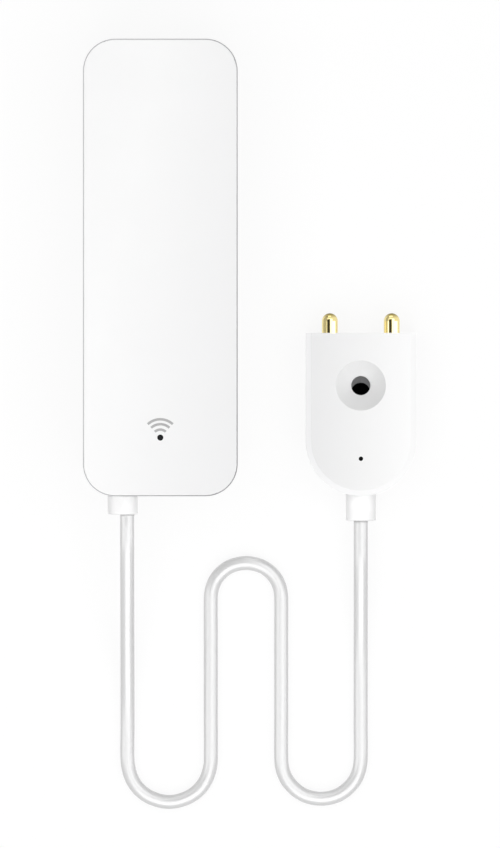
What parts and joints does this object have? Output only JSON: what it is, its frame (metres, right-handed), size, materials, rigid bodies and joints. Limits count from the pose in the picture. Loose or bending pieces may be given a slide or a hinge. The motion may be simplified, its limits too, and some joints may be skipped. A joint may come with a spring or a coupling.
{
  "type": "water leak sensor",
  "caption": "Slim battery-powered leak sensor unit with a thin cable to a flat U-shaped probe that has metal sensing pins and a countersunk screw hole.",
  "frame": {"origin": "centre of the main unit's back face, which lies on the surface with the probe beside it", "axes": "+X to the right and +Y to the end away from the cable, seen from the front; +Z out of the front"},
  "size_m": [0.0518, 0.1199, 0.019],
  "materials": {
    "case_white": "fine satin moulding, close to gloss",
    "housing_white": "fine matt moulding",
    "collar_white": "smooth soft moulding",
    "cable_white": "smooth soft jacket",
    "pin_gold": "gold plated, polished",
    "contact_nickel": "nickel plated spring steel",
    "screw_steel": "bright zinc plating",
    "cell_jacket": "plain printed jacket",
    "board_green": "solder mask on laminate",
    "module_blue": "solder mask on laminate",
    "shield_tin": "tinned sheet",
    "chip_black": "moulded resin",
    "led_clear": "clear resin on a white base",
    "lens_smoke": "smoked clear plastic",
    "button_grey": "fine matt moulding",
    "header_ivory": "natural nylon",
    "wire_red": "core insulation",
    "resin_black": "cast sealing resin",
    "pad_foam": "dark closed-cell foam"
  },
  "bodies": {
    "sensor": {"front_cover": "case_white", "rear_housing": "housing_white", "battery_left": "cell_jacket", "battery_right": "cell_jacket", "negative_plate": "contact_nickel", "negative_spring": "contact_nickel", "positive_contact": "contact_nickel", "bridge_strip": "contact_nickel", "bridge_spring": "contact_nickel", "main_board": "board_green", "radio_module": "module_blue", "radio_shield": "shield_tin", "board_components": "chip_black", "status_led": "led_clear", "status_lens": "lens_smoke", "tact_switch": "chip_black", "probe_header": "header_ivory", "cable_grommet": "collar_white", "main_lead_wires": "wire_red", "case_screws": "screw_steel", "probe_cable": "cable_white", "probe_front_shell": "case_white", "probe_back_shell": "housing_white", "probe_pin_left": "pin_gold", "probe_pin_right": "pin_gold", "probe_board": "board_green", "probe_potting": "resin_black", "probe_grommet": "collar_white", "probe_lead_wires": "wire_red", "probe_pad": "pad_foam"},
    "door": {"battery_door": "housing_white"},
    "button": {"reset_button": "button_grey"}
  },
  "joints": [
    {"name": "door_slide", "type": "slide", "parent": "sensor", "child": "door", "axis": [0, 1, 0], "range_m": [0, 0.048]},
    {"name": "button_press", "type": "slide", "parent": "sensor", "child": "button", "axis": [0, 0, 1], "range_m": [0, 0.0003], "stiffness_N_per_m": 600}
  ]
}
